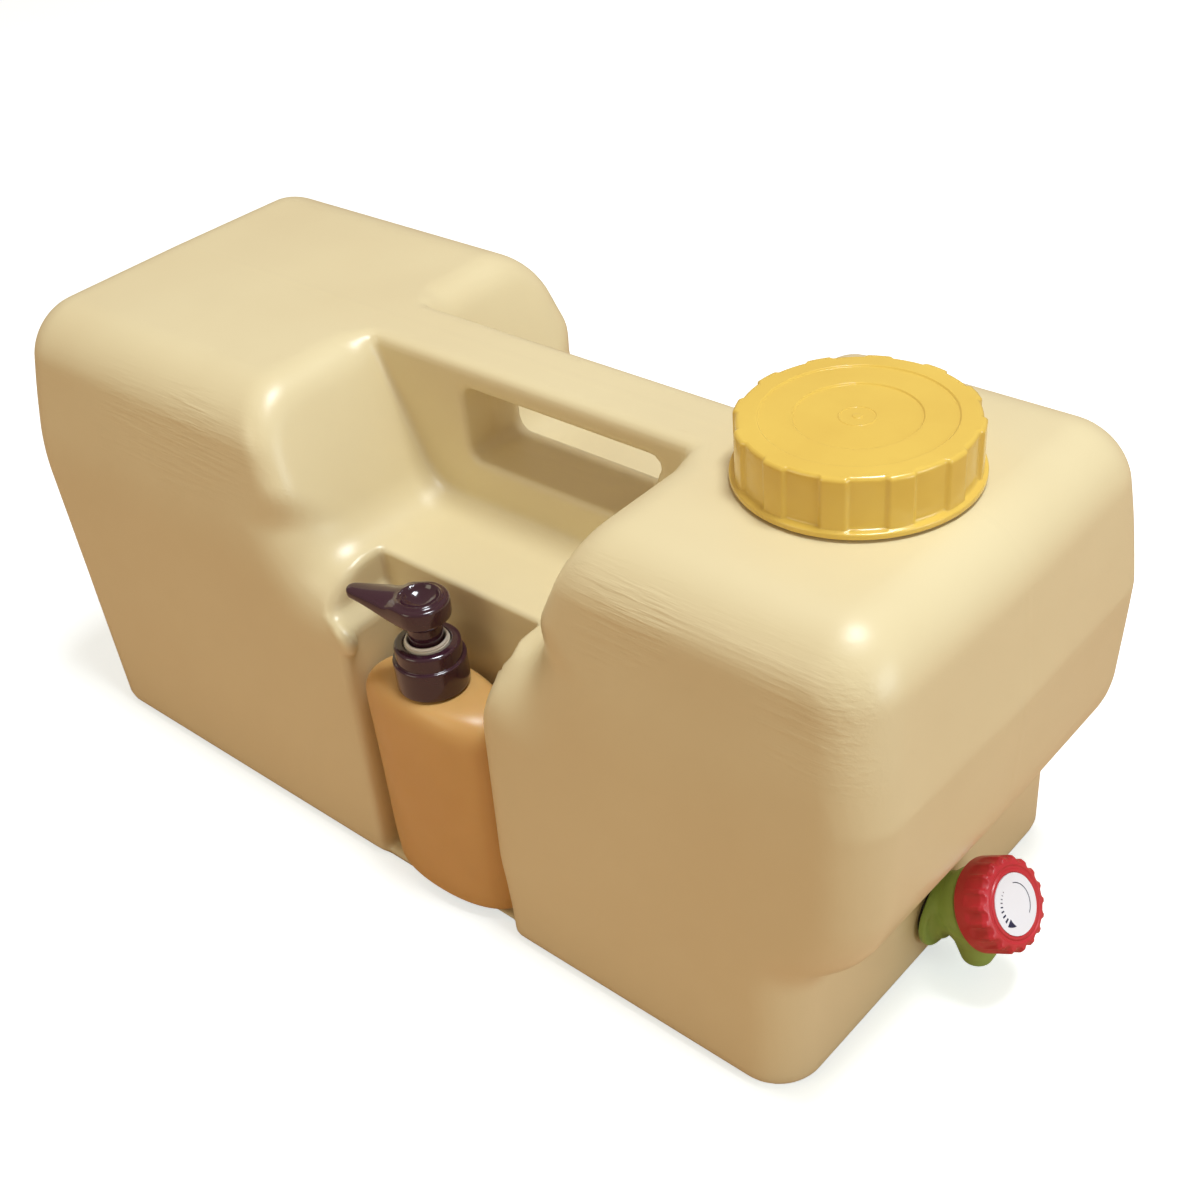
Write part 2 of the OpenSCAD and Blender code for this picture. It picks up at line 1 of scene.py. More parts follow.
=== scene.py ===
import json
import math
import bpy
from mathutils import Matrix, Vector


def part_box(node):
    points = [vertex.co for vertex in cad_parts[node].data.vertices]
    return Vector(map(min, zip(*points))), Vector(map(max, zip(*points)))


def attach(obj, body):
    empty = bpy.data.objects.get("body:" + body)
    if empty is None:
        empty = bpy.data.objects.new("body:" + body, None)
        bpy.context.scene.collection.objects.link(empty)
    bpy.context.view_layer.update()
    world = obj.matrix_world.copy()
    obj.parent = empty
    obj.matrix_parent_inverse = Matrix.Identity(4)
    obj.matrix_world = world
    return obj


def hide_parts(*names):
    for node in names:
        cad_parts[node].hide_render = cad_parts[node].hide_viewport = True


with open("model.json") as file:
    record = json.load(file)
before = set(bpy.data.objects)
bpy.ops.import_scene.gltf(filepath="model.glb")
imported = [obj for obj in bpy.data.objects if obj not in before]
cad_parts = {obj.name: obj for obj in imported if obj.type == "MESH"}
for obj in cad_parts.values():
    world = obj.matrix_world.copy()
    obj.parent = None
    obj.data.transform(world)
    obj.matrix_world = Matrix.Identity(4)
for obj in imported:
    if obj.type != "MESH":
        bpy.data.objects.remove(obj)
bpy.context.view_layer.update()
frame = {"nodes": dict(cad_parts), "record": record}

from types import SimpleNamespace

import bpy
import numpy as np
from bpy.props import FloatProperty, FloatVectorProperty, IntProperty, PointerProperty

bl_info = {
    "name": "Portable handwash tank",
    "version": (1, 0, 0),
    "blender": (4, 5, 0),
    "location": "3D View > Sidebar > Handwash",
    "description": "Surfaces, finishes, light and camera of a portable handwash tank with a soap pump "
                   "and a tap",
    "category": "Object",
}


def box_mm(name):
    """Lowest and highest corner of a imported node, in millimetres."""
    low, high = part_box(name)
    return np.array(low) * 1000, np.array(high) * 1000


def linear(code):
    """An sRGB colour such as "#d9c28c" as linear red, green and blue."""
    c = np.array([int(code[i:i + 2], 16) for i in (1, 3, 5)]) / 255
    return tuple(np.where(c <= 0.04045, c / 12.92, ((c + 0.055) / 1.055) ** 2.4).tolist())


# ---- Sizes and colours ----

def length(name, default, description):
    return FloatProperty(name=name, default=default / 1000, description=description, unit="LENGTH")


def colour(name, code, description):
    return FloatVectorProperty(name=name, size=3, subtype="COLOR", min=0, max=1,
                               default=linear(code), description=description)


class TankSizes(bpy.types.PropertyGroup):
    crease: length("Crease height", 169, "Height where the sides start to lean in")
    lean: length("Lean", 9.5, "How far each side leans in from the crease to the top")
    left_lean: length("Left block lean", 4, "How much more the sides of the left block lean in")
    draft: length("Draft", 3, "How far each side stands out from the crease to the foot")
    end_draft: length("End draft", 14.6, "How far the left end leans in from the crease to the foot")
    end_lean: length("End lean", 6.5, "How far each end leans in from the crease to the top")
    corner: length("Corner radius", 23, "Radius of the upright corners")
    top_edge: length("Top edge radius", 27, "Radius of the top edges")
    lip: length("Overhang lip radius", 12, "Radius of the overhang's lower edge")
    recess: length("Tap recess", 35, "Depth of the recess under the overhang")
    recess_height: length("Recess height", 68, "Height of the recessed wall")
    saddle_top: length("Saddle width, top", 199, "Width of the saddle at the top")
    saddle_floor: length("Saddle width, floor", 130, "Width of the saddle at its floor")
    plate: length("Handle width", 38, "Width of the handle across the tank")
    hook: length("Mouth lip", 10, "How far the right lip of the pocket reaches in front of the bottle")
    bar: length("Handle bar", 13, "Thickness of the handle bar over the hand hole")
    web: length("Web height", 27, "Height of the web under the hand hole")
    cell: length("Mesh cell", 2.8, "Size of one cell of the tank's mesh")


class PieceSizes(bpy.types.PropertyGroup):
    cap_ribs: IntProperty(name="Cap ribs", default=12, description="Number of grip ribs round the cap")
    cap_groove: length("Cap flats", 1.4, "Depth of the flats between the cap's ribs")
    nozzle_turn: FloatProperty(name="Nozzle turn", default=math.radians(18), subtype="ANGLE", unit="ROTATION",
                               description="Turn of the nozzle from the left towards the front")
    nozzle_reach: length("Nozzle reach", 38, "Reach of the nozzle from the pump's axis")
    knob_flutes: IntProperty(name="Knob flutes", default=18,
                             description="Number of finger flutes round the knob")
    knob_flute: length("Knob flute depth", 1.5, "Depth of a flute at the knob's front edge")
    tilt: FloatProperty(name="Tap tilt", default=math.radians(32.5), subtype="ANGLE", unit="ROTATION",
                        description="Tilt of the tap's axis above level")


class Colours(bpy.types.PropertyGroup):
    sand: colour("Tank", "#e2d5ac", "Sand polyethylene of the tank")
    ochre: colour("Cap", "#e3c25a", "Ochre polypropylene of the cap")
    amber: colour("Bottle", "#d5a968", "Amber polyethylene of the bottle")
    plum: colour("Pump", "#391c2b", "Dark plum polypropylene of the pump")
    green: colour("Tap", "#94bd62", "Green polypropylene of the tap")
    red: colour("Knob", "#c42c38", "Red ABS of the knob")
    label: colour("Label", "#e9ebf3", "Face of the knob's label")
    ink: colour("Ink", "#1c2248", "Printed marks on the label")


# ---- Meshes worked out with numpy ----

def put_mesh(name, points, quads, tris=()):
    """A mesh object from points in millimetres; faces are turned round if they enclose a negative volume."""
    quads = np.asarray(quads, np.int32).reshape(-1, 4)
    tris = np.asarray(tris, np.int32).reshape(-1, 3)
    three = np.concatenate([quads[:, [0, 1, 2]], quads[:, [0, 2, 3]], tris])
    a, b, c = (points[three[:, i]] - points.mean(0) for i in range(3))
    if (a * np.cross(b, c)).sum() < 0:
        quads, tris = quads[:, ::-1], tris[:, ::-1]
    loops = np.concatenate([quads.ravel(), tris.ravel()]).astype(np.int32)
    starts = np.concatenate([np.arange(len(quads)) * 4, len(quads) * 4 + np.arange(len(tris)) * 3])
    starts = starts.astype(np.int32)
    mesh = bpy.data.meshes.new(name)
    mesh.vertices.add(len(points))
    mesh.vertices.foreach_set("co", (points / 1000).astype(np.float32).ravel())
    mesh.loops.add(len(loops))
    mesh.loops.foreach_set("vertex_index", loops)
    mesh.polygons.add(len(starts))
    mesh.polygons.foreach_set("loop_start", starts)
    mesh.update(calc_edges=True)
    mesh.validate()
    mesh.polygons.foreach_set("use_smooth", np.ones(len(mesh.polygons), bool))
    piece = bpy.data.objects.new(name, mesh)
    bpy.context.scene.collection.objects.link(piece)
    return piece


def loft(name, rows, ring=False):
    """A skin through closed loops, rows by columns by 3: neighbouring loops are joined by quads, and the
    first and last loop are closed by a fan to their middle, or joined to each other when ring is true."""
    m, n = rows.shape[:2]
    at = np.arange(m * n).reshape(m, n)
    nxt = np.roll(at, -1, axis=1)
    if ring:
        low, low_nxt = np.roll(at, -1, axis=0), np.roll(nxt, -1, axis=0)
        quads = np.stack([at, low, low_nxt, nxt], -1)
        return put_mesh(name, rows.reshape(-1, 3), quads)
    quads = np.stack([at[:-1], at[1:], nxt[1:], nxt[:-1]], -1)
    points = np.concatenate([rows.reshape(-1, 3), rows[:1].mean(1), rows[-1:].mean(1)])
    first, last = np.full(n, m * n), np.full(n, m * n + 1)
    tris = np.concatenate([np.stack([first, at[0], nxt[0]], -1), np.stack([last, nxt[-1], at[-1]], -1)])
    return put_mesh(name, points, quads, tris)


def outline(*corners, steps=6, longest=None):
    """A profile through corners (r, z, fillet): each corner with a fillet becomes an arc that is tangent to
    both its sides, and no step is longer than longest."""
    parts = []
    for i, (r, z, f) in enumerate(corners):
        q = np.array([r, z], float)
        if f == 0 or i in (0, len(corners) - 1):
            parts.append(q[None])
            continue
        u, v = np.array(corners[i - 1][:2]) - q, np.array(corners[i + 1][:2]) - q
        lu, lv = np.linalg.norm(u), np.linalg.norm(v)
        u, v = u / lu, v / lv
        half = np.arccos(np.clip(u @ v, -1, 1)) / 2
        t = min(f / np.tan(half), 0.48 * lu, 0.48 * lv)
        c = q + (u + v) / np.linalg.norm(u + v) * t / np.cos(half)
        w, turn = np.linspace(0, 1, steps)[:, None], np.pi - 2 * half
        arc = np.sin((1 - w) * turn) * (q + u * t - c) + np.sin(w * turn) * (q + v * t - c)
        parts.append(c + arc / np.sin(turn))
    points = np.concatenate(parts)
    if longest is None:
        return points
    s = np.concatenate([[0], np.cumsum(np.linalg.norm(np.diff(points, axis=0), axis=1))])
    at = np.unique(np.round(np.concatenate([s, np.arange(0, s[-1], longest)]), 3))
    return np.stack([np.interp(at, s, points[:, 0]), np.interp(at, s, points[:, 1])], 1)


def turned(profile, columns, cut=None):
    """Loops of a turned shape: the profile's radius and height carried round the axis, where cut(radius,
    height, angle) is taken off the radius."""
    a = np.linspace(0, 2 * np.pi, columns, endpoint=False)[None]
    r, z = profile[:, :1], profile[:, 1:] + 0 * a
    r = r + 0 * a if cut is None else r - cut(r + 0 * a, z, a)
    return np.stack([r * np.cos(a), r * np.sin(a), z], -1)


def smooth(t):
    """0 below 0, 1 above 1, and 3t^2 - 2t^3 between."""
    t = np.clip(t, 0, 1)
    return t * t * (3 - 2 * t)


def both(a, b, r):
    """Field of the part common to two square-on solids, with the edge rounded to radius r."""
    return np.minimum(np.maximum(a, b), -r) + np.hypot(np.maximum(a + r, 0), np.maximum(b + r, 0))


def blend_both(a, b, k):
    """Field of the part common to two solids: their maximum, raised by (k - |a - b|)^2 / 4k near the edge."""
    return np.maximum(a, b) + np.maximum(k - np.abs(a - b), 0) ** 2 / (4 * k)


def either(a, b, k):
    """Field of two solids together, with the inner corner filled over a width k."""
    return -blend_both(-a, -b, k)


def net_surface(name, field, low, high, cell):
    """The skin where a field is zero. The field is taken at every point of a grid. Each cell that the
    skin crosses gets one point, at the mean of the crossings of its edges. Each grid edge whose ends
    differ in sign gets one quad through the four cells round it. Last, each point slides along the
    field's slope onto the skin."""
    axes = [np.arange(low[i], high[i] + cell, cell) for i in range(3)]
    g = field(*np.meshgrid(*axes, indexing="ij"))
    inside = g < 0
    n = np.array(g.shape) - 1
    corner = lambda v, o: v[o[0]:o[0] + n[0], o[1]:o[1] + n[1], o[2]:o[2] + n[2]]
    offsets = [(i, j, k) for i in (0, 1) for j in (0, 1) for k in (0, 1)]
    count = sum(corner(inside, o).astype(np.int8) for o in offsets)
    live = np.argwhere((count > 0) & (count < 8))
    index = np.full(n, -1, np.int64)
    index[tuple(live.T)] = np.arange(len(live))
    total, hits = np.zeros((len(live), 3)), np.zeros((len(live), 1))
    for d in range(3):
        for o in offsets:
            if o[d]:
                continue
            p = live + o
            q = p + np.eye(3, dtype=int)[d]
            a, b = g[tuple(p.T)], g[tuple(q.T)]
            cross = (a < 0) != (b < 0)
            t = np.where(cross, a / np.where(cross, a - b, 1), 0)
            total += np.where(cross[:, None], p + t[:, None] * np.eye(3)[d], 0)
            hits += cross[:, None]
    points = np.array(low) + cell * total / hits
    quads = []
    for d in range(3):
        e, f = (d + 1) % 3, (d + 2) % 3
        a = np.moveaxis(inside, (d, e, f), (0, 1, 2))
        w = np.moveaxis(index, (d, e, f), (0, 1, 2))
        i, j, k = np.nonzero(a[:-1, 1:-1, 1:-1] != a[1:, 1:-1, 1:-1])
        j, k = j + 1, k + 1
        loop = np.stack([w[i, j - 1, k - 1], w[i, j, k - 1], w[i, j, k], w[i, j - 1, k]], -1)
        quads.append(np.where(a[i, j, k][:, None], loop, loop[:, ::-1]))
    h = 0.3
    for _ in range(3):
        x, y, z = points.T
        here = field(x, y, z)
        slope = np.stack([field(x + h, y, z) - field(x - h, y, z), field(x, y + h, z) - field(x, y - h, z),
                          field(x, y, z + h) - field(x, y, z - h)], -1) / (2 * h)
        move = -here[:, None] * slope / np.maximum((slope ** 2).sum(1, keepdims=True), 0.2)
        points = points + np.clip(move, -cell, cell)
    return put_mesh(name, points, np.concatenate(quads))


def own(piece, body, slot, finish, *nodes):
    """Gives a piece its finish and the body that it moves with, and hides the nodes that it stands for."""
    piece.data.materials.append(finish)
    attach(piece, body)
    if nodes:
        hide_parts(*nodes)


# ---- Finishes ----

def add(tree, kind, settings=None, inputs=None):
    """Adds one node: settings are its own values; inputs are sockets' values, or the output to link there."""
    made = tree.nodes.new(kind)
    for key, value in (settings or {}).items():
        setattr(made, key, value)
    for key, value in (inputs or {}).items():
        if isinstance(value, bpy.types.NodeSocket):
            tree.links.new(value, made.inputs[key])
        else:
            made.inputs[key].default_value = value
    return made


def start_finish(name):
    """A new material: its tree, its shader and the object's own coordinates."""
    made = bpy.data.materials.new(name)
    made.use_nodes = True
    shader = made.node_tree.nodes["Principled BSDF"]
    place = add(made.node_tree, "ShaderNodeTexCoord").outputs["Object"]
    return made, made.node_tree, shader, place


def noise(tree, place, size, detail=2.0, stretch=(1, 1, 1)):
    """Noise whose lumps are size metres across, stretched along the axes."""
    scale = tuple(1 / (size * s) for s in stretch)
    seat = add(tree, "ShaderNodeMapping", inputs={"Vector": place, "Scale": scale})
    return add(tree, "ShaderNodeTexNoise",
               inputs={"Vector": seat.outputs[0], "Scale": 1.0, "Detail": detail}).outputs[0]


def between(tree, value, a, b, low=0.0, high=1.0):
    return add(tree, "ShaderNodeMapRange", inputs={"Value": value, "From Min": a, "From Max": b,
                                                   "To Min": low, "To Max": high}).outputs[0]


def times(tree, a, b, operation="MULTIPLY"):
    return add(tree, "ShaderNodeMath", {"operation": operation}, {0: a, 1: b}).outputs[0]


def mottle(tree, shader, place, rgb, size, spread, deep=0.86):
    """Base colour that drifts between the colour and a deeper one of itself, as pigment does in moulded
    plastic."""
    shade = tuple(c * deep ** (1 + 0.5 * i) for i, c in enumerate(rgb))
    mix = add(tree, "ShaderNodeMix", {"data_type": "RGBA"},
              {0: between(tree, noise(tree, place, size, 3.0), 0.5 - spread, 0.5 + spread),
               6: (*shade, 1), 7: (*rgb, 1)})
    tree.links.new(mix.outputs[2], shader.inputs["Base Color"])


def bump(tree, shader, layers):
    """Stacks bumps on the shader's normal: each layer is a height from 0 to 1 and its depth in metres."""
    last = None
    for height, depth in layers:
        made = add(tree, "ShaderNodeBump", inputs={"Height": height, "Distance": depth, "Strength": 1.0})
        if last:
            tree.links.new(last, made.inputs["Normal"])
        last = made.outputs[0]
    tree.links.new(last, shader.inputs["Normal"])


def moulded(name, rgb, rough, ior=1.5, grain=0.0012, grain_depth=0.00001, flow=0.03, coat=0.0,
            spread=0.25, deep=0.9):
    """Moulded plastic: an even colour with faint flow marks, fine skin grain and roughness that drifts a
    little. The coat is the weight of the gloss over it."""
    made, tree, shader, place = start_finish(name)
    mottle(tree, shader, place, rgb, flow, spread, deep)
    tree.links.new(between(tree, noise(tree, place, flow * 0.7, 3.0), 0.3, 0.7, rough * 0.85, rough * 1.2),
                   shader.inputs["Roughness"])
    shader.inputs["IOR"].default_value = ior
    shader.inputs["Coat Weight"].default_value = coat
    shader.inputs["Coat Roughness"].default_value = 0.08
    bump(tree, shader, [(noise(tree, place, grain, 2.0), grain_depth),
                        (noise(tree, place, flow, 1.0), 0.00025)])
    return made


def tank_hdpe(rgb):
    """Blow-moulded HDPE. The skin is satin with a sand-blasted grain of about 0.6 mm, drawn 2 mm coarse to
    show, slow waves where the parison cooled, fine drag wrinkles below the front top edge and a parting
    line at mid width."""
    made, tree, shader, place = start_finish("blow_moulded_hdpe_sand")
    mottle(tree, shader, place, rgb, 0.09, 0.3, 0.95)
    satin = between(tree, noise(tree, place, 0.05, 3.0), 0.3, 0.7, 0.31, 0.41)
    tree.links.new(satin, shader.inputs["Roughness"])
    shader.inputs["IOR"].default_value = 1.54
    axes = add(tree, "ShaderNodeSeparateXYZ", inputs={0: place}).outputs
    drag = noise(tree, place, 0.0026, 3.0, (11, 1.2, 1))
    crease = between(tree, drag, 0.42, 0.72)
    high = times(tree, between(tree, axes[2], 0.176, 0.224), between(tree, axes[2], 0.249, 0.238))
    front = between(tree, axes[1], -0.088, -0.099)
    patch = between(tree, noise(tree, place, 0.08, 1.0), 0.36, 0.6)
    wrinkle = times(tree, times(tree, crease, times(tree, high, front)), patch)
    across = times(tree, axes[1], 0.0, "ABSOLUTE")
    seam = between(tree, across, 0.0030, 0.0006)
    bump(tree, shader, [(noise(tree, place, 0.002, 2.0), 0.00003), (noise(tree, place, 0.06, 1.0), 0.0011),
                        (wrinkle, 0.00022), (seam, 0.0001)])
    return made


def bottle_pe(rgb):
    """Blow-moulded PE bottle: thin and faintly translucent, with a smooth skin and slow waves."""
    made = moulded("blow_moulded_pe_amber", rgb, 0.36, 1.51, 0.0015, 0.000012, 0.035, spread=0.3, deep=0.92)
    shader = made.node_tree.nodes["Principled BSDF"]
    shader.inputs["Subsurface Weight"].default_value = 0.12
    shader.inputs["Subsurface Radius"].default_value = (1.0, 0.5, 0.2)
    shader.inputs["Subsurface Scale"].default_value = 0.004
    return made


def wire_steel(name, rough):
    """Drawn stainless wire and turned screws: bright, with fine lines along the draw."""
    made, tree, shader, place = start_finish(name)
    shader.inputs["Metallic"].default_value = 1.0
    shader.inputs["Base Color"].default_value = (*linear("#c6c8ca"), 1)
    lines = noise(tree, place, 0.0004, 2.0, (1, 1, 6))
    tree.links.new(between(tree, lines, 0.3, 0.7, rough * 0.8, rough * 1.3), shader.inputs["Roughness"])
    bump(tree, shader, [(lines, 0.000006)])
    return made


def rubber(name, rgb):
    """Moulded EPDM: matt, with a fine powdery skin."""
    return moulded(name, rgb, 0.68, 1.5, 0.0008, 0.00002, 0.01)


FINISHES = {}


def finishes():
    """Every finish of the object, made once."""
    if FINISHES:
        return FINISHES
    c = bpy.context.scene.handwash_colours
    FINISHES.update(
        tank=tank_hdpe(tuple(c.sand)),
        cap=moulded("injection_moulded_pp_ochre", tuple(c.ochre), 0.2, 1.49, 0.0015, 0.000006, 0.03,
                    coat=0.25, deep=0.93),
        bottle=bottle_pe(tuple(c.amber)),
        pump=moulded("polished_pp_plum", tuple(c.plum), 0.13, 1.5, 0.001, 0.000003, 0.02, coat=0.5),
        white=moulded("moulded_pp_white", linear("#f2f1ee"), 0.3, 1.49),
        natural=moulded("natural_ldpe", linear("#e6e2d6"), 0.42, 1.51),
        tap=moulded("injection_moulded_pp_green", tuple(c.green), 0.38, 1.49, 0.0012, 0.000012, 0.02,
                    spread=0.3),
        knob=moulded("injection_moulded_abs_red", tuple(c.red), 0.36, 1.53, 0.0012, 0.000012, 0.02),
        label=moulded("printed_vinyl_label", tuple(c.label), 0.4, 1.5, 0.0008, 0.000005, 0.02, deep=0.98),
        ink=moulded("navy_screen_ink", tuple(c.ink), 0.45),
        rubber=rubber("moulded_epdm_black", linear("#26262a")),
        foam=rubber("closed_cell_pe_foam", linear("#cfcdc8")),
        wire=wire_steel("drawn_stainless_wire", 0.25),
        screw=wire_steel("zinc_plated_screw", 0.32),
    )
    return FINISHES


# ---- Pieces ----

def tank_field(s):
    """Field of the tank, below zero inside it. Sides, ends, top and foot are planes with rounded edges.
    The saddle is a trough across the tank, less the handle plate. The hand hole, the soap pocket, a bed
    for the bottle and the filler's well are taken off, and the lip at the bottle's left is added."""
    low, high = box_mm("tank")
    neck_low, neck_high = box_mm("filler_neck")
    bottle_low, bottle_high = box_mm("soap_bottle")
    left, right, top = low[0], high[0], high[2]
    half = high[1] - s.draft
    wall = right - s.recess
    mid = (bottle_low[0] + bottle_high[0]) / 2
    neck_x = (neck_low[0] + neck_high[0]) / 2
    neck_in = (neck_high[0] - neck_low[0]) / 2 - 5.1
    run = (s.saddle_top - s.saddle_floor) / 2 / (top - s.crease)
    square = math.hypot(1, run)
    back = bottle_high[1] + 3
    bottle_a, bottle_b = (bottle_high[:2] - bottle_low[:2]) / 2
    bottle_y = (bottle_high[1] + bottle_low[1]) / 2

    def field(x, y, z):
        ay = np.sqrt(y * y + 0.25)
        above = (z - s.crease) / (top - s.crease)
        below = (s.crease - z) / s.crease
        lean = s.lean + s.left_lean * smooth((mid - x) / 60 + 0.5)
        side = blend_both(ay - half + lean * above, ay - half - s.draft * below, 2.4)
        peak = 0.018 * np.sqrt(y * y + 60)
        left_end = left - x + peak
        left_end = blend_both(left_end + s.end_lean * above, left_end + s.end_draft * below, 2.4)
        right_end = x - right + peak + s.end_lean * np.maximum(above, 0) + np.maximum(below, 0) * 10
        under = ((x - wall) - (z - s.recess_height)) / math.sqrt(2)
        hang = blend_both(right_end, under, s.lip * 1.2)
        right_side = either(hang, x - wall + 0.2 * peak, 7.0)
        body = both(side, np.where(x > 0, right_side, left_end), s.corner + 4 * smooth((z - 195) / 50))
        body = both(body, z - top, s.top_edge)
        body = both(body, -z, 7.0)

        floor = s.crease + 4 * np.clip((35.5 - ay) / 16.5, 0, 1) - z
        slope = (np.abs(x - mid) - s.saddle_floor / 2 - (z - s.crease) * run) / square
        trough = blend_both(slope, floor, 17.0)
        plate = both(ay - s.plate / 2, z - top - 6, 3.0)
        cut = both(trough, -plate, 2.5)
        k = 36 - 21.5 * smooth((z - 182) / 25)
        k = k - (k - 6) * smooth((32 - ay) / 12) * smooth((z - 185) / 15)
        body = blend_both(body, -cut, k)

        hole_top, hole_low = top - s.bar, s.crease + s.web
        hole_left = mid - s.saddle_top / 2 + 54 + s.bar * run
        hole_right = mid + s.saddle_top / 2 - 12 - s.bar * run - (hole_top - z) * run
        hole = both(both(hole_left - x, (x - hole_right) / square, 1),
                    both(z - hole_top, hole_low - z, 1), 7.0)
        body = both(body, -hole, 3.0)

        slot_left = mid - 45.5 - 8 * smooth((z - 141) / 12)
        slot_right = mid + 45.5 + 5 * smooth((z - 122) / 14) * smooth((y + 102) / 10)
        slot_right = slot_right - s.hook * smooth((-y - 97) / 10) * smooth((z - 5) / 110)
        nook = both(both(slot_left - x, x - slot_right, 1), y - back, 2.5)
        nook = both(nook, 5 - z, 2.0)
        bed = (np.abs(x - mid) / (bottle_a + 1.4)) ** 2.3 + (np.abs(y - bottle_y) / (bottle_b + 1.4)) ** 2.3
        nook = np.minimum(nook, both(bottle_b * (bed ** (1 / 2.3) - 1), 5 - z, 1))
        edge = 1.3 + (4 + 3 * smooth((x - mid) / 20 + 0.5)) * smooth((-y - 84) / 18)
        body = both(body, -nook, edge)
        lip = np.sqrt(((x - slot_left - 0.5) / 6) ** 2 + ((y + 109) / 4.5) ** 2 + ((z - 140) / 8.5) ** 2) - 1
        body = either(body, lip * 4.5, 3.0)

        well = both(np.hypot(x - neck_x, y) - neck_in, top - 70 - z, 1.0)
        return both(body, -well, 0.8)

    return field, low - 6, high + 6


class HANDWASH_OT_tank(bpy.types.Operator):
    """Makes the blow-moulded tank as the zero skin of its field"""
    bl_idname = "handwash.tank"
    bl_label = "Tank"

    def execute(self, context):
        g = context.scene.handwash_tank
        s = SimpleNamespace(**{k: getattr(g, k) * 1000 for k in TankSizes.__annotations__})
        field, low, high = tank_field(s)
        cell = s.cell * 1
        skin = net_surface("tank_skin", field, low, high, cell)
        own(skin, "tank", "tank_plastic", finishes()["tank"], "tank")
        return {"FINISHED"}


class HANDWASH_OT_cap(bpy.types.Operator):
    """Turns the filler cap: its profile goes round the axis, less the flats between its grip ribs"""
    bl_idname = "handwash.cap"
    bl_label = "Filler cap"

    def execute(self, context):
        p = context.scene.handwash_pieces
        low, high = box_mm("filler_cap")
        centre, z0, t = (low + high) / 2, low[2], high[2]
        rim, flange = (high[0] - low[0]) / 2 - 1.7, (high[0] - low[0]) / 2
        gate = ((0.6, t - 1.0, 0), (1.8, t - 1.1, 0.3), (2.2, t - 1.45, 0.2), (6.9, t - 1.4, 0.1),
                (7.1, t - 1.2, 0.1), (7.5, t - 1.2, 0.1), (7.7, t - 1.4, 0.1))
        steps = ((25.0, t - 1.4, 0.25), (25.5, t - 0.75, 0.3), (38.5, t - 0.75, 0.3), (39.1, t - 0.05, 0.4))
        wall = ((rim, t - 0.2, 1.7), (rim, z0 + 3.2, 0.5), (flange, z0 + 2.5, 0.9), (flange, z0 + 0.1, 0.6))
        inner = ((44.4, z0, 0.3), (44.0, t - 3.1, 1.0), (0.6, t - 3.1, 0))
        profile = outline(*gate, *steps, *wall, *inner, longest=1.5)
        pitch, depth = 2 * np.pi / p.cap_ribs, p.cap_groove * 1000

        def flats(r, z, a):
            off = np.abs((a - math.radians(-7) + pitch / 2) % pitch - pitch / 2)
            wide = smooth((off - math.radians(5.3)) / math.radians(1.9))
            return depth * wide * smooth((r - 45.5) / 1.5) * smooth((z - z0 - 2.6) / 1.3)

        rows = turned(profile, 432, flats) + np.array([centre[0], centre[1], 0])
        own(loft("cap_skin", rows), "cap", "cap_plastic", finishes()["cap"], "filler_cap")
        return {"FINISHED"}


class HANDWASH_OT_bottle(bpy.types.Operator):
    """Lofts the soap bottle through ovals whose half-axes follow a rounded shoulder and foot"""
    bl_idname = "handwash.bottle"
    bl_label = "Soap bottle"

    def execute(self, context):
        low, high = box_mm("soap_bottle")
        a0, b0 = (high[:2] - low[:2]) / 2
        cx, cy = (high[:2] + low[:2]) / 2
        z0, z1 = low[2], high[2] + 2.4
        t = np.linspace(0, 1, 26)

        def side(g):
            """Half-axes and height from the neck down to the foot, g inside the outer skin."""
            bow = np.sin(t * np.pi / 2) ** (2 / 2.5)
            fall = np.cos(t * np.pi / 2) ** (2 / 2.5)
            a, b = 14.5 + (a0 - g - 14.5) * bow, 14.5 + (b0 - g - 14.5) * bow
            z = z1 - 18.5 + (18.5 - g) * fall
            foot = np.linspace(0, np.pi / 2, 9)
            a = np.concatenate([a, [a0 - g - 0.4] * 3, a0 - g - 1 - 4 * (1 - np.cos(foot)), [a0 * 0.5, 0.5]])
            b = np.concatenate([b, [b0 - g - 0.3] * 3, b0 - g - 0.8 - 4 * (1 - np.cos(foot)), [b0 * 0.5, 0.5]])
            z = np.concatenate([z, z0 + np.array([70, 40, 20]), z0 + g + 4.5 * (1 - np.sin(foot)),
                                [z0 + g + 0.8] * 2])
            return np.stack([a, b, z], 1)

        mouth = np.array([[11.3, 11.3, z1 - 1.6], [11.2, 11.2, z1 - 0.2], [11.5, 11.5, z1]])
        rows = np.concatenate([side(1.6)[::-1], mouth, side(0)])
        u = np.linspace(0, 2 * np.pi, 128, endpoint=False)
        power = 2 / (2 + 0.22 * smooth((rows[:, :1] - 15) / 12))
        c, s = np.cos(u)[None], np.sin(u)[None]
        skin = np.stack([cx + rows[:, :1] * np.sign(c) * np.abs(c) ** power,
                         cy + rows[:, 1:2] * np.sign(s) * np.abs(s) ** power, rows[:, 2:] + 0 * c], -1)
        own(loft("bottle_skin", skin), "bottle", "bottle_plastic", finishes()["bottle"], "soap_bottle")
        return {"FINISHED"}


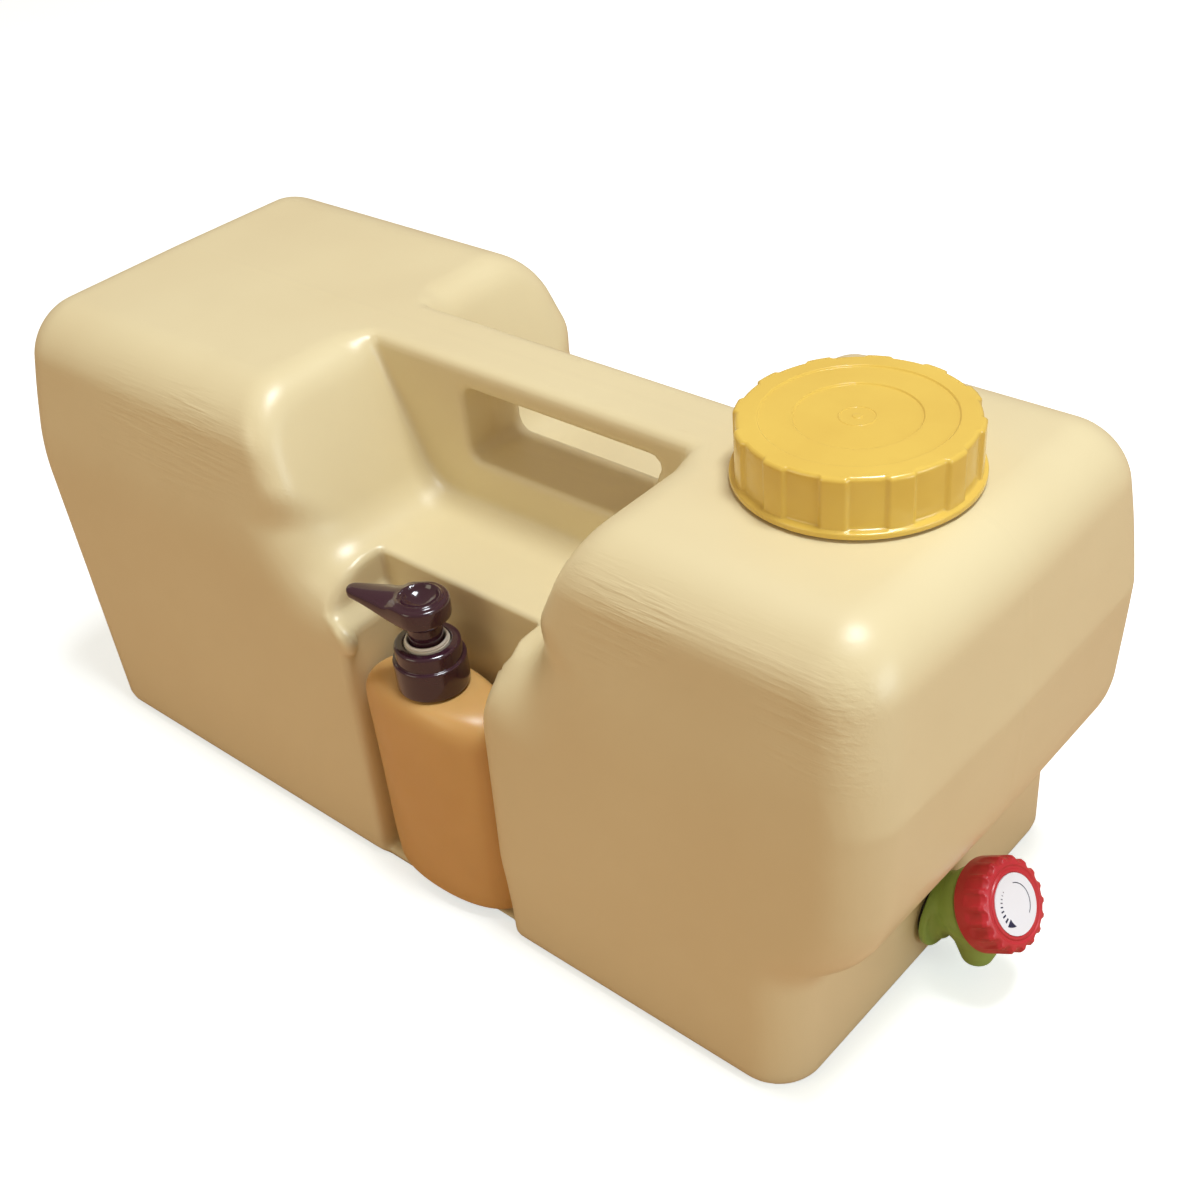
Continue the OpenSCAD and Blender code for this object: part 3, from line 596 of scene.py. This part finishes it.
class HANDWASH_OT_pump(bpy.types.Operator):
    """Makes the pump's collar, guide ring and head: turned rings, and a teardrop lofted down to its skirt"""
    bl_idname = "handwash.pump"
    bl_label = "Soap pump"

    def execute(self, context):
        p = context.scene.handwash_pieces
        low, high = box_mm("pump_collar")
        axis = np.append((low[:2] + high[:2]) / 2, 0)
        r, z0, z1 = (high[0] - low[0]) / 2 - 0.6, low[2] + 2.5, high[2]
        tiers = ((r - 1.7, z1, 1.6), (r - 1.5, z1 - 8, 0.4), (r, z1 - 8.3, 0.9), (r, z0 + 0.2, 0.5))
        inner = ((14.5, z0, 0.3), (14.5, z1 - 2.2, 0.3), (11.6, z1 - 2.2, 0))
        collar = outline((11.6, z1 - 2, 0), (11.4, z1, 0.5), *tiers, *inner, longest=2.5)
        own(loft("collar_skin", turned(collar, 128) + axis, ring=True), "collar", "pump_plastic",
            finishes()["pump"], "pump_collar")

        low, high = box_mm("pump_guide_ring")
        bead_r, u = 0.7, np.linspace(0, 2 * np.pi, 16, False)
        q, mid_r, mid_z = (high[2] - low[2]) / 2, (high[0] - low[0]) / 2 - bead_r, (low[2] + high[2]) / 2
        bead = np.stack([mid_r + bead_r * np.cos(u), mid_z + q * np.sin(u)], 1)
        own(loft("guide_ring_skin", turned(bead, 96) + axis, ring=True), "pump", "white_plastic",
            finishes()["white"], "pump_guide_ring")

        low, high = box_mm("pump_head")
        low = np.minimum(low, [*high[:2], box_mm("pump_collar")[1][2] - 2])
        top, skirt_low = high[2], low[2]
        base = box_mm("pump_collar")[1][2] + 13.4
        reach, round_r, tip_r = p.nozzle_reach * 1000, 13.8, 4.4
        tip = reach - tip_r
        turn = math.acos((round_r - tip_r) / tip)
        u = np.concatenate([np.linspace(-turn, turn, 40), np.linspace(turn, 2 * np.pi - turn, 90)])
        nose = np.arange(len(u)) < 40
        normal = np.stack([np.cos(u), np.sin(u)], -1)
        edge = normal * np.where(nose, tip_r, round_r)[:, None] + np.where(nose, tip, 0)[:, None] * [1, 0]
        flank = np.linspace(edge[39], edge[40], 14)[1:-1]
        flank_n = np.repeat(normal[39:40], len(flank), 0)
        other = np.linspace(edge[-1], edge[0], 14)[1:-1]
        other_n = np.repeat(normal[0:1], len(other), 0)
        edge = np.concatenate([edge[:40], flank, edge[40:], other])
        normal = np.concatenate([normal[:40], flank_n, normal[40:], other_n])
        pinch = 1 - 0.06 * np.sin(np.pi * np.clip(edge[:, :1] / tip, 0, 1))
        edge = edge * np.concatenate([np.ones_like(pinch), pinch], 1)

        def crown(xy):
            """Height of the top: level, with a thumb dish over the axis and a beak that dips to its tip."""
            away = np.hypot(xy[..., 0], xy[..., 1])
            ridge = 1.2 * np.exp(-((away - 9.7) / 1.0) ** 2)
            dish = -3.8 * np.clip(1 - (away / 9.2) ** 2, 0, 1)
            fall = 0.035 * xy[..., 1] ** 2 * smooth((xy[..., 0] - 9) / 6)
            return top - 1.1 + dish + ridge - 0.5 * smooth((xy[..., 0] - 14) / 20) - fall

        def belly(xy):
            return base + 0.4 + 4.6 * smooth((xy[..., 0] - 6) / 30)

        inset = edge - normal * 1.6
        rows = []
        for k in np.linspace(0.04, 1, 26):
            xy = inset * k
            rows.append(np.concatenate([xy, crown(xy)[:, None]], 1))
        for off, drop in ((1.0, 0.12), (0.5, 0.45), (0.15, 0.95), (0.0, 1.7)):
            xy = edge - normal * off
            rows.append(np.concatenate([xy, (crown(inset) - drop)[:, None]], 1))
        for off, rise in ((0.0, 2.2), (0.25, 1.1), (0.9, 0.35), (1.8, 0.0)):
            xy = edge - normal * off
            rows.append(np.concatenate([xy, (belly(edge) + rise * 0.8)[:, None]], 1))
        a = np.arctan2(edge[:, 1], edge[:, 0])
        ring = np.stack([np.cos(a), np.sin(a)], 1)
        for w in (0.25, 0.5, 0.75, 0.92):
            xy = (edge - normal * 1.8) * (1 - w) + ring * 8.3 * w
            rows.append(np.concatenate([xy, (belly(xy) * (1 - w ** 2) + (base - 0.4) * w ** 2)[:, None]], 1))
        for q, z in ((8.3, base - 0.6), (8.3, base - 6), (8.3, skirt_low + 0.3), (8.0, skirt_low),
                     (4.05, skirt_low), (4.05, top - 8), (0.3, top - 8)):
            rows.append(np.concatenate([ring * q, np.full((len(ring), 1), z)], 1))
        rows = np.array(rows)
        heading = np.pi + p.nozzle_turn
        c, s = np.cos(heading), np.sin(heading)
        x, y = rows[..., 0] * c - rows[..., 1] * s, rows[..., 0] * s + rows[..., 1] * c
        rows = np.stack([x, y, rows[..., 2]], -1) + axis
        own(loft("head_skin", rows), "nozzle", "pump_plastic", finishes()["pump"], "pump_head", "pump_skirt")
        return {"FINISHED"}


def tap_axes():
    """Foot of the tap's tilted axis, and its three directions: across, up the face and along the axis."""
    tilt = bpy.context.scene.handwash_pieces.tilt
    low, high = box_mm("tap_washer")
    foot = np.array([low[0], (low[1] + high[1]) / 2, (low[2] + high[2]) / 2])
    along = np.array([math.cos(tilt), 0, math.sin(tilt)])
    return foot, np.array([0, 1.0, 0]), np.array([-math.sin(tilt), 0, math.cos(tilt)]), along


def on_tap(points, start):
    """Points given across, up the face and along the axis from start, placed on the tap's axis."""
    foot, e1, e2, e3 = tap_axes()
    return foot + points[..., :1] * e1 + points[..., 1:2] * e2 + (points[..., 2:] + start) * e3


class HANDWASH_OT_tap(bpy.types.Operator):
    """Makes the tap's casting as the zero skin of a field: flange, bell-mouthed barrel and spout, blended"""
    bl_idname = "handwash.tap"
    bl_label = "Tap body"

    def execute(self, context):
        low, high = box_mm("tap_body")
        foot, _, e2, e3 = tap_axes()
        spout_x, spout_z = frame["record"]["mounts"][1]["pos_m"][0] * 1000, low[2]
        wide = (high[1] - low[1]) / 2
        mouth = 27.0

        def field(x, y, z):
            dx, dz = x - foot[0], z - foot[2]
            s, q = dx * e3[0] + dz * e3[2], np.hypot(y, dx * e2[0] + dz * e2[2])
            barrel = both(q - 11 - 7.8 * smooth((s - 2) / 27), s - mouth, 1.0)
            barrel = np.maximum(barrel, 4.0 - dx)
            flange = both(np.hypot(y, dz) - wide + 1.5, np.abs(dx - 3.9) - 1.9, 1.3)
            neck = both(np.hypot(y, dz) - 12.5, np.abs(dx - 6) - 4, 1.0)
            spout = both(np.hypot(x - spout_x, y) - 6.7 - 0.34 * (z - spout_z), spout_z + 0.8 - z, 1.2)
            spout = np.maximum(spout, z - foot[2] - 8)
            body = either(either(barrel, flange, 5.0), either(spout, neck, 3.0), 5.0)
            bore = np.maximum(np.hypot(x - spout_x, y) - 5.0, z - spout_z - 12)
            return both(body, -bore, 0.6)

        low, high = [foot[0] + 1, -wide - 2, spout_z - 2], [275, wide + 2, 66]
        skin = net_surface("tap_skin", field, low, high, 0.75)
        own(skin, "tank", "tap_plastic", finishes()["tap"], "tap_body")
        return {"FINISHED"}


class HANDWASH_OT_knob(bpy.types.Operator):
    """Turns the knob, less its flutes, and lays the label's turn arrow on its face"""
    bl_idname = "handwash.knob"
    bl_label = "Tap knob"

    def execute(self, context):
        p = context.scene.handwash_pieces
        start, h, r = 29.5, 17.0, 21.7
        profile = outline((0.5, h - 0.6, 0), (14.0, h - 0.6, 0), (14.2, h, 0.3), (15.4, h - 0.1, 0.3),
                          (15.9, h - 0.7, 0.3), (16.8, h - 0.7, 0.3), (17.4, h - 0.2, 0.4),
                          (20.4, h - 0.9, 1.2), (r, h - 2.8, 1.5), (r, 1.0, 0.4),
                          (r - 0.8, 0, 0.4), (4.1, 0, 0), (4.1, 7.9, 0), (0.5, 7.9, 0), longest=0.9)
        pitch, depth = 2 * np.pi / p.knob_flutes, p.knob_flute * 1000

        def flutes(q, z, a):
            off = np.abs((a + pitch / 2) % pitch - pitch / 2) / (pitch * 0.36)
            run = smooth((z - 5.5) / 3) * (0.55 + 0.45 * smooth((z - 8) / 7))
            return depth * np.sqrt(np.clip(1 - off ** 2, 0, 1)) * run * smooth((q - 18.3) / 2.4)

        rows = on_tap(turned(profile, 360, flutes), start)
        own(loft("knob_skin", rows), "knob", "knob_plastic", finishes()["knob"], "tap_knob")

        def mark(name, a0, a1, inner, outer):
            """A thin bar along an arc, between two radii that change evenly from one end to the other."""
            n = 14
            a = np.radians(np.linspace(a0, a1, n))
            i, o = np.linspace(*inner, n), np.linspace(*outer, n)
            q = np.stack([i, i, o, o], 1)
            z = np.tile([h - 0.05, h + 0.07, h + 0.07, h - 0.05], (n, 1))
            rows = np.stack([q * np.cos(a)[:, None], q * np.sin(a)[:, None], z], -1)
            piece = loft(name, on_tap(rows, start))
            piece.data.polygons.foreach_set("use_smooth", np.zeros(len(piece.data.polygons), bool))
            own(piece, "knob", "label", finishes()["ink"])

        ticks = ((112, 0.5), (122, 0.6), (132, 0.75), (142, 0.9), (153, 1.1), (165, 1.3), (178, 1.5),
                 (192, 1.75))
        for i, (at, grow) in enumerate(ticks):
            inner, outer = (9.6 - grow * 0.7,) * 2, (9.6 + grow * 0.7,) * 2
            mark(f"label_tick_{i}", at - 1.6 * grow, at + 1.6 * grow, inner, outer)
        mark("label_arrow", 203, 232, (7.6, 9.5), (11.6, 9.7))
        mark("label_arc", -58, 64, (9.3, 9.3), (9.7, 9.7))
        return {"FINISHED"}


class HANDWASH_OT_carried(bpy.types.Operator):
    """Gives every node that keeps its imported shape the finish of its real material"""
    bl_idname = "handwash.carried"
    bl_label = "Finishes of the carried nodes"

    def execute(self, context):
        kinds = {
            "tank": ["filler_neck", "tank"], "bottle": ["bottle_neck", "soap_bottle"], "cap": ["filler_cap"],
            "rubber": ["cap_gasket", "tap_washer", "tap_oring", "tap_valve_plug"], "foam": ["pump_gasket"],
            "natural": ["pump_housing", "pump_seat", "dip_tube", "pump_piston", "pump_stem", "tap_spindle"],
            "wire": ["pump_ball", "pump_spring"], "screw": ["knob_screw"],
            "tap": ["tap_backnut", "tap_bonnet", "tap_body"], "label": ["knob_label"], "knob": ["tap_knob"],
            "pump": ["pump_collar", "pump_head", "pump_skirt"], "white": ["pump_guide_ring"],
        }
        for kind, names in kinds.items():
            for name in names:
                for slot in frame["nodes"][name].material_slots:
                    slot.material = finishes()[kind]
        return {"FINISHED"}


def straight_rays(tree):
    """1 for rays from the camera, also after they pass through a piece, and 0 for light that bounced."""
    path = add(tree, "ShaderNodeLightPath").outputs
    return times(tree, path["Is Camera Ray"], path["Is Transmission Ray"], "MAXIMUM")


def two_colours(tree, choice, first, second):
    """The first colour where choice is 0, and the second where it is 1."""
    made = add(tree, "ShaderNodeMix", {"data_type": "RGBA"}, {0: choice, 6: (*first, 1), 7: (*second, 1)})
    return made.outputs[2]


class HANDWASH_OT_stage(bpy.types.Operator):
    """Lays the pale floor, hangs the soft lamps and sets the camera"""
    bl_idname = "handwash.stage"
    bl_label = "Floor, light and camera"

    def execute(self, context):
        scene = context.scene
        scene.view_settings.view_transform = "Standard"
        half = 6000.0
        corners = np.array([[-1, -1], [1, -1], [1, 1], [-1, 1]]) * half
        corners = np.column_stack([corners, np.full(4, -0.4)])
        floor = put_mesh("floor", corners, [[0, 1, 2, 3]])
        made, tree, shader, place = start_finish("matt_studio_floor")
        shader.inputs["Roughness"].default_value = 0.9
        shader.inputs["Specular IOR Level"].default_value = 0.0
        seen = straight_rays(tree)
        tree.links.new(times(tree, seen, 0.58), shader.inputs["Emission Strength"])
        base = two_colours(tree, seen, linear("#c9a688"), (0.86, 0.86, 0.86))
        tree.links.new(base, shader.inputs["Base Color"])
        shader.inputs["Emission Color"].default_value = (0.86, 0.97, 1.0, 1)
        floor.data.materials.append(made)

        world = bpy.data.worlds.new("studio")
        world.use_nodes = True
        scene.world = world
        tree = world.node_tree
        seen = straight_rays(tree)
        glow = two_colours(tree, seen, (0.38, 0.29, 0.22), (1, 1, 1))
        tree.links.new(glow, tree.nodes["Background"].inputs["Color"])

        for name, place, aim, size, power, tint in (
            ("lamp_above", (0.5, 0.12, 2.3), (0, 0, 0.1), 0.6, 38, "#f1f9ff"),
            ("lamp_right", (1.9, 0.0, 0.7), (0.1, 0, 0.12), 0.9, 11, "#e8faff"),
            ("lamp_front", (-0.5, -1.9, 1.1), (0, 0, 0.1), 1.0, 6.8, "#fffcdc"),
        ):
            lamp = bpy.data.lights.new(name, "AREA")
            lamp.size, lamp.energy, lamp.color = size, power, linear(tint)
            held = bpy.data.objects.new(name, lamp)
            scene.collection.objects.link(held)
            held.location = place
            back = np.array(place) - np.array(aim)
            yaw, pitch = math.atan2(back[0], -back[1]), math.atan2(math.hypot(back[0], back[1]), back[2])
            held.rotation_euler = (pitch, 0, yaw)

        lens = bpy.data.cameras.new("camera")
        lens.lens, lens.sensor_width = 48.4, 36
        lens.shift_x, lens.shift_y = 0.0361, 0.0474
        lens.clip_start, lens.clip_end = 0.01, 50
        camera = bpy.data.objects.new("camera", lens)
        camera.location = (0.4959, -0.4676, 0.5928)
        camera.rotation_euler = tuple(math.radians(v) for v in (52.151, 5.578, 41.811))
        scene.collection.objects.link(camera)
        scene.camera = camera
        return {"FINISHED"}


class HANDWASH_PT_panel(bpy.types.Panel):
    """The sizes, the colours and the steps, in order"""
    bl_idname = "HANDWASH_PT_panel"
    bl_label = "Portable handwash tank"
    bl_space_type = "VIEW_3D"
    bl_region_type = "UI"
    bl_category = "Handwash"

    def draw(self, context):
        scene = context.scene
        for group in (scene.handwash_tank, scene.handwash_pieces, scene.handwash_colours):
            column = self.layout.column(align=True)
            for key in type(group).__annotations__:
                column.prop(group, key)
        for step in STEPS:
            self.layout.operator(step.bl_idname)


STEPS = (HANDWASH_OT_stage, HANDWASH_OT_tank, HANDWASH_OT_cap, HANDWASH_OT_bottle, HANDWASH_OT_pump,
         HANDWASH_OT_tap, HANDWASH_OT_knob, HANDWASH_OT_carried)
CLASSES = (TankSizes, PieceSizes, Colours, *STEPS, HANDWASH_PT_panel)


def register():
    for c in CLASSES:
        bpy.utils.register_class(c)
    bpy.types.Scene.handwash_tank = PointerProperty(type=TankSizes)
    bpy.types.Scene.handwash_pieces = PointerProperty(type=PieceSizes)
    bpy.types.Scene.handwash_colours = PointerProperty(type=Colours)


def unregister():
    del bpy.types.Scene.handwash_colours, bpy.types.Scene.handwash_pieces, bpy.types.Scene.handwash_tank
    for c in reversed(CLASSES):
        bpy.utils.unregister_class(c)


def main():
    register()
    bpy.ops.handwash.stage()
    bpy.ops.handwash.tank()
    bpy.ops.handwash.cap()
    bpy.ops.handwash.bottle()
    bpy.ops.handwash.pump()
    bpy.ops.handwash.tap()
    bpy.ops.handwash.knob()
    bpy.ops.handwash.carried()


if __name__ == "__main__":
    main()
